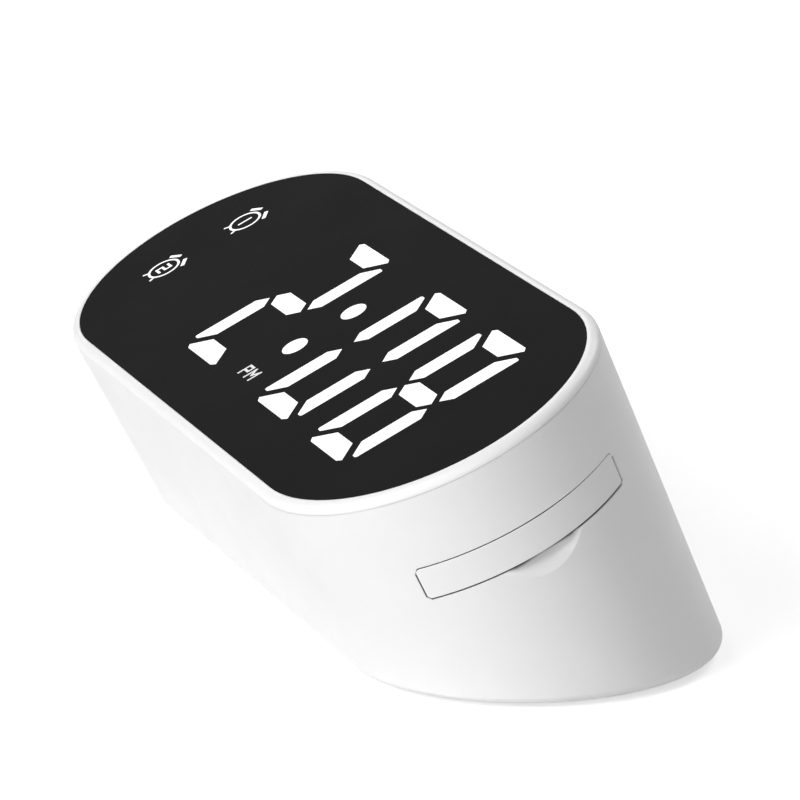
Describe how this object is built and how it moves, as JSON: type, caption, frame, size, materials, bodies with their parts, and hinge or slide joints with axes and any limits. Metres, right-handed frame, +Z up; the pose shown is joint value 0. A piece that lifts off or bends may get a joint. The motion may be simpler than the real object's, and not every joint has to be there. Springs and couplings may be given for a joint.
{
  "type": "digital alarm clock",
  "caption": "Pill-shaped desk alarm clock that leans towards the user, with lit seven-segment time in a black face, a port flap, back buttons and a coin-cell door.",
  "frame": {"origin": "centre of the footprint box on the ground, under the rubber feet", "axes": "+X along the display from left to right as read, -Y towards the user, +Z up"},
  "size_m": [0.1542, 0.079, 0.0576],
  "materials": {
    "case_plastic": "fine satin moulded ABS",
    "lens_acrylic": "polished smoked black acrylic",
    "lit_guide": "lit white light guide",
    "diffuser_film": "milky diffuser film",
    "reflector_plastic": "white moulded light box",
    "circuit_board": "green solder mask",
    "led_package": "white LED with phosphor",
    "zinc_steel": "zinc plated",
    "chip_epoxy": "moulded epoxy",
    "can_steel": "drawn can",
    "capacitor_sleeve": "shrink sleeve",
    "spring_brass": "phosphor bronze strip",
    "socket_nylon": "natural nylon",
    "ribbon_film": "flat cable film",
    "speaker_parts": "paper cone in a black frame",
    "plated_shell": "nickel plated shell",
    "switch_plastic": "moulded switch body",
    "button_plastic": "satin moulded ABS",
    "foot_rubber": "soft rubber",
    "cell_steel": "nickel plated cell"
  },
  "bodies": {
    "root": {"housing": "case_plastic", "bezel": "case_plastic", "display_lens": "lens_acrylic", "hour_digit": "lit_guide", "minute_tens_digit": "lit_guide", "minute_ones_digit": "lit_guide", "colon_dots": "lit_guide", "pm_mark": "lit_guide", "alarm_mark_1": "lit_guide", "alarm_mark_2": "lit_guide", "diffuser_sheet": "diffuser_film", "reflector_block": "reflector_plastic", "display_board": "circuit_board", "led_chips": "led_package", "display_screws": "zinc_steel", "main_board": "circuit_board", "clock_chip": "chip_epoxy", "crystal_can": "can_steel", "board_capacitors": "capacitor_sleeve", "main_board_screws": "zinc_steel", "cell_contacts": "spring_brass", "ribbon_sockets": "socket_nylon", "display_ribbon": "ribbon_film", "speaker": "speaker_parts", "usb_board": "circuit_board", "usb_socket": "plated_shell", "usb_board_screw": "zinc_steel", "hinge_pin": "zinc_steel", "key_board": "circuit_board", "tact_switches": "switch_plastic", "key_board_screws": "zinc_steel", "base_plate": "case_plastic", "base_screws": "zinc_steel", "rubber_feet": "foot_rubber"},
    "port_flap": {"port_flap": "case_plastic"},
    "battery_door": {"battery_door": "case_plastic", "coin_cell": "cell_steel"},
    "set_button": {"set_button": "button_plastic"},
    "up_button": {"up_button": "button_plastic"},
    "down_button": {"down_button": "button_plastic"},
    "alarm_button": {"alarm_button": "button_plastic"}
  },
  "joints": [
    {"name": "flap_hinge", "type": "hinge", "parent": "root", "child": "port_flap", "pos_m": [0.07247, -0.00865, 0.03688], "axis": [0, -0.9048, -0.4258], "range_deg": [0, 75]},
    {"name": "battery_door_turn", "type": "hinge", "parent": "root", "child": "battery_door", "pos_m": [0.027, 0.00871, 0.0011], "axis": [0, 0, 1], "range_deg": [0, 60]},
    {"name": "set_press", "type": "slide", "parent": "root", "child": "set_button", "axis": [0, -0.9202, -0.3915], "range_m": [0, 0.0008], "stiffness_N_per_m": 1800},
    {"name": "up_press", "type": "slide", "parent": "root", "child": "up_button", "axis": [0, -0.9202, -0.3915], "range_m": [0, 0.0008], "stiffness_N_per_m": 1800},
    {"name": "down_press", "type": "slide", "parent": "root", "child": "down_button", "axis": [0, -0.9202, -0.3915], "range_m": [0, 0.0008], "stiffness_N_per_m": 1800},
    {"name": "alarm_press", "type": "slide", "parent": "root", "child": "alarm_button", "axis": [0, -0.9202, -0.3915], "range_m": [0, 0.0008], "stiffness_N_per_m": 1800}
  ]
}
